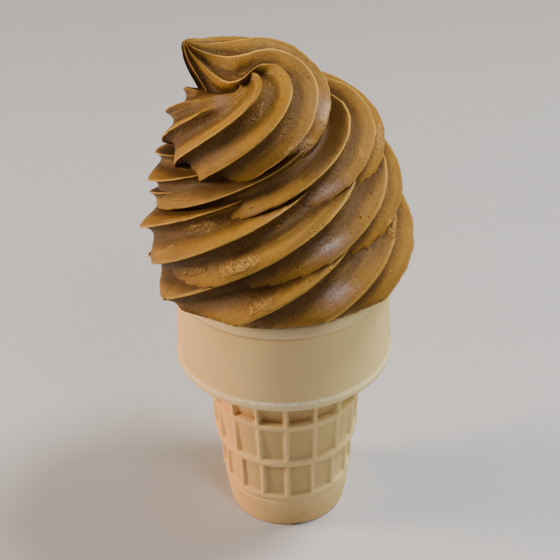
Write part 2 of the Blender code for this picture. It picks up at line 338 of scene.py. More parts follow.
class Field:
    """A value in a node tree that takes part in ordinary sums; each sum adds its own Math node."""

    def __init__(self, graph, socket):
        self.graph = graph
        self.socket = socket

    def __add__(self, other):
        return self.graph.math("ADD", self, other)

    __radd__ = __add__

    def __sub__(self, other):
        return self.graph.math("SUBTRACT", self, other)

    def __rsub__(self, other):
        return self.graph.math("SUBTRACT", other, self)

    def __mul__(self, other):
        return self.graph.math("MULTIPLY", self, other)

    __rmul__ = __mul__

    def __truediv__(self, other):
        return self.graph.math("DIVIDE", self, other)

    def __rtruediv__(self, other):
        return self.graph.math("DIVIDE", other, self)

    def __pow__(self, other):
        return self.graph.math("POWER", self, other)

    def __mod__(self, other):
        return self.graph.math("FLOORED_MODULO", self, other)

    def __abs__(self):
        return self.graph.math("ABSOLUTE", self)

    def __neg__(self):
        return self * -1.0

    def floor(self):
        return self.graph.math("FLOOR", self)

    def least(self, other):
        return self.graph.math("MINIMUM", self, other)

    def most(self, other):
        return self.graph.math("MAXIMUM", self, other)

    def smooth(self, low, high):
        """0 below low and 1 above high, with a soft step between."""
        settings = {"interpolation_type": "SMOOTHSTEP"}
        sockets = {"Value": self, "From Min": low, "From Max": high}
        return self.graph.node("ShaderNodeMapRange", settings, sockets)


class Graph:
    """Builds a node tree."""

    def __init__(self, tree):
        self.tree = tree
        tree.nodes.clear()

    def node(self, kind, settings=None, sockets=None, out=0):
        """Adds a node, sets its settings and then its sockets, and returns one of its outputs."""
        node = self.tree.nodes.new(kind)
        for name, value in (settings or {}).items():
            setattr(node, name, value)
        for name, value in (sockets or {}).items():
            self.put(named_input(node.inputs, name), value)
        if not node.outputs:
            return node
        shown = [socket for socket in node.outputs if socket.enabled]
        return Field(self, shown[out] if isinstance(out, int) else named_input(shown, out))

    def put(self, socket, value):
        """Links a value to a socket, or sets the socket to it."""
        if isinstance(value, Field):
            self.tree.links.new(value.socket, socket)
        elif socket.type == "RGBA":
            socket.default_value = (*value[:3], 1.0)
        else:
            socket.default_value = value

    def math(self, operation, *values):
        return self.node("ShaderNodeMath", {"operation": operation}, dict(enumerate(values)))

    def vector(self, operation, *values):
        return self.node("ShaderNodeVectorMath", {"operation": operation}, dict(enumerate(values)))

    def scaled(self, vector, factor):
        return self.node("ShaderNodeVectorMath", {"operation": "SCALE"}, {"Vector": vector, "Scale": factor})

    def combine(self, x, y, z):
        return self.node("ShaderNodeCombineXYZ", None, {"X": x, "Y": y, "Z": z})

    def parts(self, vector):
        """The X, Y and Z of a vector."""
        split = self.node("ShaderNodeSeparateXYZ", None, {"Vector": vector})
        return [Field(self, socket) for socket in split.socket.node.outputs]

    def mix(self, a, b, factor):
        return self.node("ShaderNodeMix", {"data_type": "RGBA"}, {"A": a, "B": b, "Factor": factor})

    def noise(self, vector, scale, detail=2.0, roughness=0.5):
        sockets = {"Vector": vector, "Scale": scale, "Detail": detail, "Roughness": roughness}
        return self.node("ShaderNodeTexNoise", None, sockets, "Fac")

    def cells(self, vector, scale):
        """How far each place is from the middle of its cell."""
        return self.node("ShaderNodeTexVoronoi", None, {"Vector": vector, "Scale": scale}, "Distance")

    def shade(self, sockets):
        """Ends a material with its shader and output."""
        shader = self.node("ShaderNodeBsdfPrincipled", None, sockets)
        self.node("ShaderNodeOutputMaterial", None, {"Surface": shader})


def new_material(name):
    """A new material and the graph that builds its nodes."""
    material = bpy.data.materials.new(name)
    material.use_nodes = True
    return material, Graph(material.node_tree)


def add_object(name, data):
    """Adds an object with this data to the scene."""
    obj = bpy.data.objects.new(name, data)
    bpy.context.scene.collection.objects.link(obj)
    return obj


# Geometry node trees


class GeometryGraph(Graph):
    """A Geometry Nodes tree with named inputs."""

    def __init__(self, name, inputs):
        super().__init__(bpy.data.node_groups.new(name, "GeometryNodeTree"))
        kinds = {"INT": "NodeSocketInt", "FLOAT": "NodeSocketFloat", "MATERIAL": "NodeSocketMaterial"}
        interface = self.tree.interface
        interface.new_socket("Geometry", in_out="INPUT", socket_type="NodeSocketGeometry")
        for label, kind, default in inputs:
            socket = interface.new_socket(label, in_out="INPUT", socket_type=kinds[kind])
            if default is not None:
                socket.default_value = default
        interface.new_socket("Geometry", in_out="OUTPUT", socket_type="NodeSocketGeometry")
        self.group = self.tree.nodes.new("NodeGroupInput")

    def given(self, name):
        """The tree's own input of this name."""
        return Field(self, self.group.outputs[name])

    def sampled(self, guide, index, kind, value):
        """A value as it is at one point of the guide."""
        sockets = {"Geometry": guide, "Value": value, "Index": index}
        return self.node("GeometryNodeSampleIndex", {"data_type": kind, "domain": "POINT"}, sockets)

    def attribute(self, kind, name):
        return self.node("GeometryNodeInputNamedAttribute", {"data_type": kind}, {"Name": name})

    def stored(self, mesh, kind, name, value):
        sockets = {"Geometry": mesh, "Name": name, "Value": value}
        return self.node("GeometryNodeStoreNamedAttribute", {"data_type": kind, "domain": "POINT"}, sockets)

    def finish(self, mesh):
        """Merges the seam and the poles, makes instances real and gives the result its material."""
        merged = self.node("GeometryNodeMergeByDistance", None, {"Geometry": mesh, "Distance": MERGE_WITHIN * MM})
        real = self.node("GeometryNodeRealizeInstances", None, {"Geometry": merged})
        dressed = self.node("GeometryNodeSetMaterial", None, {"Geometry": real, "Material": self.given("Material")})
        self.node("NodeGroupOutput", None, {"Geometry": dressed})
        return self.tree

    def grid(self, rings, columns):
        """A grid of rings, with the ring and column of each of its points."""
        sockets = {"Vertices X": rings, "Vertices Y": columns}
        mesh = self.node("GeometryNodeMeshGrid", None, sockets)
        index = self.node("GeometryNodeInputIndex")
        ring = ((index + 0.5) / columns).floor()
        return mesh, ring, index - ring * columns


def cup_tree():
    """Turns an outline round Z and sinks the rows of panels into it between the ribs."""
    inputs = [("Ribs", "INT", 16), ("Columns a Rib", "INT", 20), ("Rib Width", "FLOAT", 0.0016)]
    inputs += [("Edge Softness", "FLOAT", 0.3 * MM), ("Seam Height", "FLOAT", 0.5 * MM)]
    inputs += [("Unevenness", "FLOAT", 0.30 * MM)]
    for row in PANEL_ROWS:
        inputs += [(f"{row.name} Row {label}", "FLOAT", size * MM) for label, size in zip(ROW_LABELS, row[1:])]
    inputs += [("Material", "MATERIAL", None)]
    graph = GeometryGraph("Waffled Cup", inputs)
    guide = graph.given("Geometry")
    ribs = graph.given("Ribs")
    soft = graph.given("Edge Softness")
    rings = graph.node("GeometryNodeAttributeDomainSize", None, {"Geometry": guide}, "Point Count")
    columns = ribs * graph.given("Columns a Rib") + 1
    mesh, ring, column = graph.grid(rings, columns)
    angle = column / (columns - 1) * math.tau
    place = graph.sampled(guide, ring, "FLOAT_VECTOR", graph.node("GeometryNodeInputPosition"))
    outside = graph.sampled(guide, ring, "FLOAT", graph.attribute("FLOAT", "outside"))
    radius, _, height = graph.parts(place)

    across = abs((angle / math.tau * ribs + 0.5) % 1.0 - 0.5) * math.tau * radius / ribs
    rib_half = graph.given("Rib Width") / 2
    between = across.smooth(rib_half - soft, rib_half + soft)
    sunk = 0.0
    for row in PANEL_ROWS:
        low, high, low_depth, high_depth = (graph.given(f"{row.name} Row {label}") for label in ROW_LABELS)
        climb = ((height - low) / (high - low)).most(0.0).least(1.0)
        inside = height.smooth(low - soft, low + soft) * (1 - height.smooth(high - soft, high + soft))
        sunk = sunk + inside * (low_depth + (high_depth - low_depth) * climb)
    around = abs(graph.math("SINE", angle)) * radius
    seam = (1 - around.smooth(0.2 * MM, 1.2 * MM)) * graph.given("Seam Height")
    wobble = graph.noise(graph.combine(angle, height * 40.0, 0.0), 2.6) - 0.5
    pushed = radius + outside * (seam - sunk * between + wobble * graph.given("Unevenness"))
    spot = graph.combine(pushed * graph.math("COSINE", angle), pushed * graph.math("SINE", angle), height)
    mesh = graph.stored(mesh, "FLOAT", "sunk", sunk * between * outside / MM)
    mesh = graph.node("GeometryNodeSetPosition", None, {"Geometry": mesh, "Position": spot})
    return graph.finish(mesh)


def swirl_tree():
    """Carries a star section along the coil's guide, ring by ring."""
    inputs = [("Crests", "INT", 9), ("Points a Crest", "INT", 12), ("Crest Depth", "FLOAT", 0.25)]
    inputs += [("Crest Sharpness", "FLOAT", 0.85), ("Crest Rounding", "FLOAT", 0.11), ("Crest Crowding", "FLOAT", 0.55)]
    inputs += [("Valley Place", "FLOAT", 0.65), ("Crest Lean", "FLOAT", 0.12)]
    inputs += [("Pressed Side", "FLOAT", math.radians(125)), ("Pressed Level", "FLOAT", 0.4)]
    inputs += [("Squash", "FLOAT", 0.93), ("Waviness", "FLOAT", 0.5 * MM), ("Wave Scale", "FLOAT", 110.0)]
    inputs += [("Tearing", "FLOAT", 0.5 * MM), ("Tear Scale", "FLOAT", 420.0), ("Flow Length", "FLOAT", 0.75)]
    inputs += [("Material", "MATERIAL", None)]
    graph = GeometryGraph("Piped Rope", inputs)
    guide = graph.given("Geometry")
    crests = graph.given("Crests")
    rings = graph.node("GeometryNodeAttributeDomainSize", None, {"Geometry": guide}, "Point Count")
    columns = crests * graph.given("Points a Crest") + 1
    mesh, ring, column = graph.grid(rings, columns)
    even = column / (columns - 1) * math.tau
    on_crest = even / math.tau * crests

    # The star: points crowd at the crests, the valleys stand off their middle, and pressed sides are flat
    share = on_crest % 1.0
    crowding = graph.given("Crest Crowding") / math.tau
    share = share - graph.math("SINE", share * math.tau) * crowding
    wave = graph.math("SINE", share * math.pi)
    skewed = share + (graph.given("Valley Place") - 0.5) * wave
    crest = 1 - abs(wave)
    upright = (on_crest.floor() + skewed) * math.tau / crests
    star_turn, head, rope, turn = (
        graph.sampled(guide, ring, "FLOAT", graph.attribute("FLOAT", label))
        for label in ("star_turn", "pressed", "rope", "turn")
    )
    side = graph.math("COSINE", upright + star_turn - graph.given("Pressed Side"))
    pressed = head * side.smooth(0.35, 0.8)
    lean = graph.given("Crest Lean") * (1 - head * 0.6) * (1 - pressed)
    on_star = upright - lean * crest * crest * math.tau / crests
    rounding = graph.given("Crest Rounding")
    valley = (graph.math("SQRT", wave * wave + rounding * rounding) - rounding) ** graph.given("Crest Sharpness")
    star = 1 - graph.given("Crest Depth") * (valley * (1 - pressed) + graph.given("Pressed Level") * pressed)

    # Its place round the middle line
    centre = graph.sampled(guide, ring, "FLOAT_VECTOR", graph.node("GeometryNodeInputPosition"))
    outward, upward = (
        graph.sampled(guide, ring, "FLOAT_VECTOR", graph.attribute("FLOAT_VECTOR", label))
        for label in ("outward", "upward")
    )
    phi = on_star + star_turn
    out_share, up_share = graph.math("COSINE", phi), graph.math("SINE", phi) * graph.given("Squash")

    def at(reach):
        """The place this far from the middle line."""
        sideways = graph.scaled(outward, reach * out_share)
        upwards = graph.scaled(upward, reach * up_share)
        return graph.vector("ADD", centre, graph.vector("ADD", sideways, upwards))

    # Waves everywhere and tears at the crests, less where the rope thins out
    first = at(rope * star)
    waves = graph.noise(first, graph.given("Wave Scale")) - 0.5
    tears = graph.noise(first, graph.given("Tear Scale"), 4.0, 0.6) - 0.5
    edge = crest * crest * crest
    thick = (rope / (6 * MM)).least(1.0)
    loose = waves * 2 * graph.given("Waviness") + tears * edge * 2 * graph.given("Tearing")

    # Painted shade: marks the upper part of each face, just below the crest above it, to be coloured dark as if in that
    # crest's shadow
    under = skewed.smooth(0.12, 0.72) * (1 - share.smooth(0.92, 1.0)) * (1 - pressed)
    mesh = graph.stored(mesh, "FLOAT", "crest", crest * (1 - pressed))
    mesh = graph.stored(mesh, "FLOAT", "under", under)
    flow = graph.combine(graph.math("COSINE", even), graph.math("SINE", even), turn * graph.given("Flow Length"))
    mesh = graph.stored(mesh, "FLOAT_VECTOR", "flow", flow)
    mesh = graph.node("GeometryNodeSetPosition", None, {"Geometry": mesh, "Position": at(rope * star + loose * thick)})
    return graph.finish(mesh)


def set_inputs(modifier, tree, values):
    """Sets a modifier's inputs by their identifiers."""
    for item in tree.interface.items_tree:
        if item.in_out == "INPUT" and item.name in values:
            modifier[item.identifier] = values[item.name]


def swept(name, guide, tree, values):
    """Runs a tree on a guide and returns the result as a plain object at the origin."""
    obj = add_object(name, guide)
    modifier = obj.modifiers.new("Shape", "NODES")
    modifier.node_group = tree
    set_inputs(modifier, tree, values)
    graph = bpy.context.evaluated_depsgraph_get()
    mesh = bpy.data.meshes.new_from_object(obj.evaluated_get(graph), depsgraph=graph)
    mesh.name = name
    obj.modifiers.clear()
    obj.data = mesh
    face_outwards(mesh)
    return obj


def face_outwards(mesh):
    """Turns every face of a closed mesh outwards."""
    bm = bmesh.new()
    bm.from_mesh(mesh)
    bmesh.ops.recalc_face_normals(bm, faces=bm.faces)
    if bm.calc_volume(signed=True) < 0:
        bmesh.ops.reverse_faces(bm, faces=bm.faces)
    bm.to_mesh(mesh)
    bm.free()


def guide_mesh(name, places, attributes):
    """Points with named values, as the input of a tree."""
    mesh = bpy.data.meshes.new(name)
    mesh.from_pydata([tuple(place) for place in places], [], [])
    for label, values in attributes.items():
        flat = np.asarray(values, float)
        kind, key = ("FLOAT", "value") if flat.ndim == 1 else ("FLOAT_VECTOR", "vector")
        mesh.attributes.new(label, kind, "POINT").data.foreach_set(key, flat.ravel())
    return mesh


# The wafer cup


def arc(centre, radius, start, end, count):
    """Points on an arc in the outline's plane, angles in degrees from +X towards +Z."""
    angles = [math.radians(start + (end - start) * i / count) for i in range(count + 1)]
    return [(centre[0] + radius * math.cos(a), centre[1] + radius * math.sin(a)) for a in angles]


def cup_outside(cup):
    """The cup's outer outline in millimetres, from the top of the rim down to the middle of the foot."""
    top, collar, bead = cup.height / MM, cup.collar_radius / MM, cup.bead_height / MM
    lip_low = top - LIP_HEIGHT
    outline = arc((collar - LIP_SETBACK - LIP_ROUND, top - LIP_ROUND), LIP_ROUND, 90, 0, 5)
    outline += [
        (collar - LIP_FOOT_SETBACK, lip_low),
        (collar - COLLAR_TOP_SETBACK, lip_low - LIP_STEP),
        (collar - COLLAR_FOOT_SETBACK, bead + BEAD_HALF),
    ]
    outline += arc((cup.bead_radius / MM - BEAD_HALF, bead), BEAD_HALF, 35, -75, 8)
    outline += [
        (TIER_HIGH.high_radius, TIER_HIGH.high),
        (TIER_HIGH.low_radius, TIER_HIGH.low),
        (RING_HIGH_RADIUS, TIER_HIGH.low - RING_EDGE),
        (RING_HIGH_RADIUS, TIER_MIDDLE.high + RING_EDGE),
        (TIER_MIDDLE.high_radius, TIER_MIDDLE.high),
        (TIER_MIDDLE.low_radius, TIER_MIDDLE.low),
        (RING_LOW_RADIUS, TIER_MIDDLE.low - RING_EDGE),
        (RING_LOW_RADIUS, TIER_LOW.high + RING_LOW_EDGE),
        (TIER_LOW.high_radius, TIER_LOW.high),
        (TIER_LOW.low_radius, TIER_LOW.low),
        (GROOVE_RADIUS, TIER_LOW.low - GROOVE_DROP),
        (FOOT_TOP_RADIUS, TIER_LOW.low - FOOT_TOP_DROP),
    ]
    return outline + arc((cup.foot_radius / MM - FOOT_ROUND, FOOT_ROUND), FOOT_ROUND, 0, -90, 4)


def spaced(points, spacing):
    """The same outline with points at an even spacing, so that its corners can be softened."""
    places = np.array(points)
    along = np.concatenate([[0.0], np.cumsum(np.linalg.norm(np.diff(places, axis=0), axis=1))])
    steps = np.linspace(0.0, along[-1], round(along[-1] / spacing) + 1)
    return np.stack([np.interp(steps, along, places[:, k]) for k in range(2)], axis=1)


def softened(places, passes):
    """The same outline with rounded corners."""
    for _ in range(passes):
        places[1:-1] = places[1:-1] * 0.5 + (places[:-2] + places[2:]) * 0.25
    return places


def cup_guide(cup):
    """The whole outline, from the floor inside up to the rim and down the outside to the foot."""
    top, bead, wall = cup.height / MM, cup.bead_height / MM, cup.wall / MM
    outside = softened(spaced(cup_outside(cup), OUTLINE_SPACING), OUTLINE_SOFTENINGS)
    on_collar = (outside[:, 1] > bead + PLAIN_ABOVE_BEAD) & (outside[:, 1] < top - PLAIN_BELOW_TOP)
    outside = outside[~on_collar | (np.arange(len(outside)) % COLLAR_THINNING == 0)]
    collar_inside = cup.collar_radius / MM - wall - COLLAR_INSET
    behind = wall + BEHIND_PANELS
    inside = [
        (0.0, FLOOR_THICKNESS),
        (cup.foot_radius / MM - wall, FLOOR_THICKNESS),
        (TIER_LOW.high_radius - behind, TIER_LOW.high),
        (TIER_HIGH.low_radius - behind, TIER_HIGH.low),
        (TIER_HIGH.high_radius - behind, TIER_HIGH.high),
        (collar_inside, bead + ABOVE_BEAD),
        (collar_inside, top - BEVEL_LOW),
        (collar_inside + BEVEL_WIDTH, top - BEVEL_HIGH),
    ]
    outline = np.concatenate([inside, outside, [(0.0, 0.0)]])
    places = np.stack([outline[:, 0], np.zeros(len(outline)), outline[:, 1]], axis=1) * MM
    sides = np.concatenate([np.zeros(len(inside)), np.ones(len(outside)), [0.0]])
    sides[len(inside) : len(inside) + RIM_RINGS] = 0.0
    return guide_mesh("wafer_cup_guide", places, {"outside": sides})


def band(field, low, high, soft):
    """1 between low and high, with soft ends."""
    return field.smooth(low - soft, low) * (1 - field.smooth(high, high + soft))


def wafer_material(cup):
    """Dry wafer: a smooth collar with a paler lip and a darker foot, with painted light: lighter ribs and rings, shaded
    panels, a shadow line under the lip, a highlight on the bead, and sides coloured browner and brighter on the left,
    as if lit warm, and yellower on the right, as if lit yellow.
    """
    material, graph = new_material("baked wafer")
    place = graph.node("ShaderNodeTexCoord", None, None, "Object")
    x, y, z = graph.parts(place)
    sunk = graph.node("ShaderNodeAttribute", {"attribute_name": "sunk"}, None, "Fac")

    blotches = graph.noise(place, 90.0, 3.0)
    grain = graph.noise(place, 900.0, 3.0, 0.6)
    fine = graph.noise(place, 2600.0, 2.0, 0.6)
    lines = graph.noise(graph.combine(x * 0.3, y * 0.3, z), 1500.0, 2.0)
    body = 1 - z.smooth(cup.bead_height - 4.0 * MM, cup.bead_height - 2.0 * MM)
    foot = 1 - z.smooth(0.0, 16.0 * MM)
    lip = z.smooth(cup.height - 4.2 * MM, cup.height - 3.6 * MM)
    # Painted shadow: a dark line just under the lip
    lip_shadow_line = band(z, cup.height - 4.7 * MM, cup.height - 4.1 * MM, 0.4 * MM)
    bead = band(z, cup.bead_height - 1.2 * MM, cup.bead_height + 1.2 * MM, 0.8 * MM)
    # Painted highlight along the top of the bead
    bead_highlight_line = band(z, cup.bead_height + 0.8 * MM, cup.bead_height + 1.4 * MM, 0.3 * MM)
    left = (-x / cup.collar_radius).smooth(0.93, 0.97) * (1 - body)
    chip = band(x, 1.2 * MM, 3.6 * MM, 0.8 * MM) * (1 - z.smooth(0.5 * MM, 1.0 * MM)) * (1 - y.smooth(-MM, 0.0))

    color = graph.mix(cup.pale, cup.baked, (body * 0.75 + blotches * 0.3 - 0.1).most(0.0).least(1.0))
    # Painted highlight on the raised ribs and rings, where the wall is not sunk
    ribs = body * (1 - foot) * (1 - sunk.smooth(0.05, 0.4))
    color = graph.mix(color, cup.rib, ribs * (0.45 + grain * 0.4))
    # Painted shade in the sunk panels
    color = graph.mix(color, cup.panel, sunk.smooth(0.2, 0.6) * 0.7)
    # Painted shade, darkest where the panels sink deepest
    color = graph.mix(color, cup.toasted_and_shade, sunk.smooth(0.95, 1.7) * 0.8)
    color = graph.mix(color, cup.toasted_and_shade, foot * blotches.smooth(0.35, 0.75) * 0.4)
    color = graph.mix(color, cup.toasted_and_shade, body * lines.smooth(0.56, 0.72) * 0.2)
    color = graph.mix(color, cup.lip, lip * 0.5 + bead * (0.3 + grain * 0.4))
    # Painted highlight on the bead
    color = graph.mix(color, cup.bead_painted_highlight, bead_highlight_line * (0.2 + grain.smooth(0.4, 0.6) * 0.6))
    # Painted shadow line under the lip
    color = graph.mix(color, cup.toasted_and_shade, lip_shadow_line * 0.35)
    color = graph.mix(color, cup.browned_and_warm_lit, left * 0.6)
    # Painted warm light on the left side, broken up in blotches by uneven browning
    browned_and_warm_lit = (-x / cup.foot_radius + (blotches - 0.5)).smooth(0.2, 1.2)
    color = graph.mix(color, cup.browned_and_warm_lit, browned_and_warm_lit * (0.28 + body * 0.57))
    # Painted light: the right side coloured yellower and brighter
    color = graph.mix(color, cup.yellowed_and_lit, (x / cup.foot_radius).smooth(0.1, 1.1) * 0.42)
    color = graph.mix(color, cup.toasted_and_shade, grain.smooth(0.58, 0.72) * (0.05 + body * 0.15))
    pores = graph.cells(place, 700.0).smooth(0.10, 0.22)
    seldom = graph.noise(place, 160.0).smooth(0.52, 0.62)
    pore = (1 - pores) * seldom * (0.15 + body * 0.85)
    color = graph.mix(color, cup.toasted_and_shade, pore * 0.5)
    color = graph.mix(color, cup.chipped, chip * 0.85)

    height = grain * (0.2 + body * 0.8) + fine * 0.3 + (lines * 0.4 + blotches * 0.8) * body - pore * 0.9
    bump = graph.node("ShaderNodeBump", None, {"Height": height, "Strength": 0.4, "Distance": 0.3 * MM}, "Normal")
    sockets = {
        "Base Color": color,
        "Roughness": 0.62 + grain * 0.18,
        "Normal": bump,
        "Specular IOR Level": 0.35,
    }
    graph.shade(sockets)
    return material


class SOFTSERVE_OT_wafer_cup(bpy.types.Operator):
    """Make the wafer cup: a turned wall with three rows of sunk panels"""

    bl_idname = "softserve.wafer_cup"
    bl_label = "Wafer Cup"

    def execute(self, context):
        cup = context.scene.softserve_cup
        values = {
            "Ribs": cup.ribs,
            "Columns a Rib": cup.columns_a_rib,
            "Rib Width": cup.rib_width,
            "Material": wafer_material(cup),
        }
        obj = swept("wafer_cup_baked", cup_guide(cup), cup_tree(), values)
        obj.data.shade_smooth()
        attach(obj, "root")
        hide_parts("wafer_cup")
        return {"FINISHED"}


# The soft serve


def coil_values(t):
    """The coil's sizes at a turn, as a smooth curve through the rows of COIL."""
    last = len(COIL) - 1
    row = max(i for i in range(last) if COIL[i].turn <= max(t, COIL[0].turn))
    before, start, end, after = (COIL[min(max(i, 0), last)] for i in (row - 1, row, row + 1, row + 2))
    span = end.turn - start.turn
    u = (t - start.turn) / span
    values = []
    for b, s, e, a in zip(before, start, end, after):
        slope_start = (e - b) / (end.turn - before.turn)
        slope_end = (a - s) / (after.turn - start.turn)
        values.append(
            (2 * u**3 - 3 * u**2 + 1) * s
            + (u**3 - 2 * u**2 + u) * span * slope_start
            + (3 * u**2 - 2 * u**3) * e
            + (u**3 - u**2) * span * slope_end
        )
    return Row(*values)


def coil_centre(t):
    """The middle of the rope at a turn, in metres."""
    coil = coil_values(t)
    angle = math.pi + math.tau * t
    x = coil.centre_x + coil.radius * math.cos(angle)
    y = coil.centre_y + coil.radius * math.sin(angle)
    z = coil.height + COIL_TILT * math.cos(angle - COIL_TILT_TOWARDS)
    return Vector((x, y, z)) * MM


def coil_guide(swirl):
    """The coil's middle line, with each section's directions, size and turn of the star."""
    first, last = COIL[0].turn, COIL[-1].turn
    rings = round((last - first) * swirl.rings_a_turn)
    turns = [first + (last - first) * i / rings for i in range(rings + 1)]
    places, outwards, upwards, ropes, star_turns = [], [], [], [], []
    for t in turns:
        along = (coil_centre(t + COIL_STEP) - coil_centre(t - COIL_STEP)).normalized()
        angle = math.pi + math.tau * t
        outward = Vector((math.cos(angle), math.sin(angle), 0.0))
        upward = along.cross(outward).normalized()
        upward = upward if upward.z > 0 else -upward
        coil = coil_values(t)
        places.append(coil_centre(t))
        outwards.append((outward - along * outward.dot(along)).normalized())
        upwards.append(upward)
        ropes.append(coil.rope * MM)
        star_turns.append(CREST_START + math.tau * t - math.radians(coil.unwind))
    for k in range(1, TIP_RINGS + 1):
        swing = math.radians(90 * k / TIP_RINGS)
        places.append(places[rings] + along * ropes[rings] * math.sin(swing))
        outwards.append(outwards[rings])
        upwards.append(upwards[rings])
        ropes.append(ropes[rings] * math.cos(swing))
        star_turns.append(star_turns[rings])
        turns.append(last)
    ropes[0] = 0.0
    pressed = [math.exp(-(((t - PRESSED_TURN) / PRESSED_SPREAD) ** 4)) for t in turns]
    values = {"outward": outwards, "upward": upwards, "rope": ropes, "star_turn": star_turns, "turn": turns}
    return guide_mesh("soft_serve_guide", places, values | {"pressed": pressed})


def rest_on_rim(mesh, cup, gap):
    """Lays cream near the rim on it, moves what would run through it up or in, and bounds what hangs over it."""
    places = read_vectors(mesh, "co")
    radius = np.hypot(places[:, 0], places[:, 1])
    angle = np.degrees(np.arctan2(places[:, 1], places[:, 0]))
    inside = cup.collar_radius - cup.wall - COLLAR_INSET * MM - gap
    rim = cup.height + gap
    height = places[:, 2] - rim
    near_rim = (radius > inside) & (height < SNAP_REACH * SNAP * MM)
    beyond = np.maximum(np.abs(height) - SNAP * MM, 0.0) * SNAP_REACH / (SNAP_REACH - 1)
    height = np.where(near_rim, np.sign(height) * beyond, height)
    places[:, 2] = rim + height
    outwards, deep = radius - inside, -height
    through = (outwards > 0.0) & (deep > 0.0)
    places[:, 2] = np.where(through, rim - np.maximum(deep - outwards, 0.0), places[:, 2])
    drawn = np.where(through, inside + np.maximum(outwards - deep, 0.0), radius)
    above = np.maximum(places[:, 2] - rim - bulged(UNDERSIDE_LIFT, angle) * MM, 0.0)
    over_rim = (drawn > inside) & (places[:, 2] > rim - TOUCHING * MM)
    drawn = np.where(over_rim, np.minimum(drawn, rim_edge(angle) + above / UNDERSIDE_SLOPE), drawn)
    places[:, :2] *= (drawn / np.maximum(radius, 1e-9))[:, None]
    mesh.vertices.foreach_set("co", places.astype(np.float32).ravel())
    mesh.update()


def rim_edge(angle):
    """How far out the cream reaches at the rim. It hangs over it at the left, and less at the right."""
    return (RIM_EDGE + sum(bulged(bulge, angle) for bulge in RIM_BULGES)) * MM


def bulged(bulge, angle):
    """A bulge's reach at an angle, in millimetres. It fades away on both sides of its middle."""
    away = (angle - bulge.towards + 180.0) % 360.0 - 180.0
    return bulge.reach * np.exp(-((away / bulge.width) ** 2))


def frame_places(places):
    """Where points fall in the photograph's frame, and how far they are from the camera."""
    right, up, forward = view_axes()
    away = places - np.array(view_place())
    depth = away @ np.array(forward)
    x = VIEW_PIXELS / 2 + VIEW_SCALE * (away @ np.array(right)) / depth
    y = VIEW_PIXELS / 2 - VIEW_SCALE * (away @ np.array(up)) / depth
    return x, y, depth


def read_vectors(mesh, key):
    """The mesh's points or their normals, one row each."""
    flat = np.empty(len(mesh.vertices) * 3, np.float32)
    mesh.vertices.foreach_get(key, flat)
    return flat.reshape(-1, 3).astype(float)


def store(mesh, label, values):
    """Keeps one number for each point of the mesh, for its material."""
    mesh.attributes.new(label, "FLOAT", "POINT").data.foreach_set("value", values.astype(np.float32))


def surface_tree(mesh):
    """The mesh as a tree that rays can be cast at."""
    return BVHTree.FromPolygons(read_vectors(mesh, "co").tolist(), [list(face.vertices) for face in mesh.polygons])


def mark_painted_crevice_shade(mesh, tree):
    """Stores how much of the sky each point is shut off from by the cream near it, as painted shade for its colour."""
    places, normals = read_vectors(mesh, "co"), read_vectors(mesh, "normal")
    starts = places + normals * SHELTER_START * MM
    blocked, whole = np.zeros(len(places)), np.zeros(len(places))
    for k in range(SHELTER_RAYS):
        height = 1.0 - SHELTER_DROP * (k + 0.5) / SHELTER_RAYS
        angle = k * GOLDEN_ANGLE
        flat = math.sqrt(1.0 - height * height)
        ray = Vector((flat * math.cos(angle), flat * math.sin(angle), height))
        facing = normals @ np.array(ray)
        seen = np.flatnonzero(facing > SHELTER_FACING)
        whole[seen] += facing[seen]
        hit = [tree.ray_cast(starts[i], ray, SHELTER_REACH * MM)[0] is not None for i in seen]
        blocked[seen] += facing[seen] * np.array(hit)
    store(mesh, "painted_crevice_shade", np.minimum(blocked / np.maximum(whole, SHELTER_FACING), SHELTER_MOST))


def mark(mesh, tree, label, patches):
    """Stores how strongly each point of the mesh lies in the patches that the photograph shows."""
    places = read_vectors(mesh, "co")
    x, y, depth = frame_places(places)
    right, up, forward = view_axes()
    eye, reach, middle = view_place(), PATCH_DEPTH * MM, VIEW_PIXELS / 2
    strength = np.zeros(len(places))
    for patch in patches:
        ray = forward + right * ((patch.x - middle) / VIEW_SCALE) + up * ((middle - patch.y) / VIEW_SCALE)
        spot = tree.ray_cast(eye, ray.normalized())[0]
        if spot is None:
            raise RuntimeError(f"no cream at {patch.x}, {patch.y}")
        here = (spot - eye).dot(forward)
        turned = math.radians(patch.tilt)
        across = (x - patch.x) * math.cos(turned) + (y - patch.y) * math.sin(turned)
        high = (y - patch.y) * math.cos(turned) - (x - patch.x) * math.sin(turned)
        far = np.hypot(across / patch.across, high / patch.high)
        near = np.clip(1.0 - (np.abs(depth - here) - reach) / reach, 0.0, 1.0)
        strength = np.maximum(strength, patch.strength * np.exp(-(far**2) * PATCH_FADE) * near)
    store(mesh, label, strength)


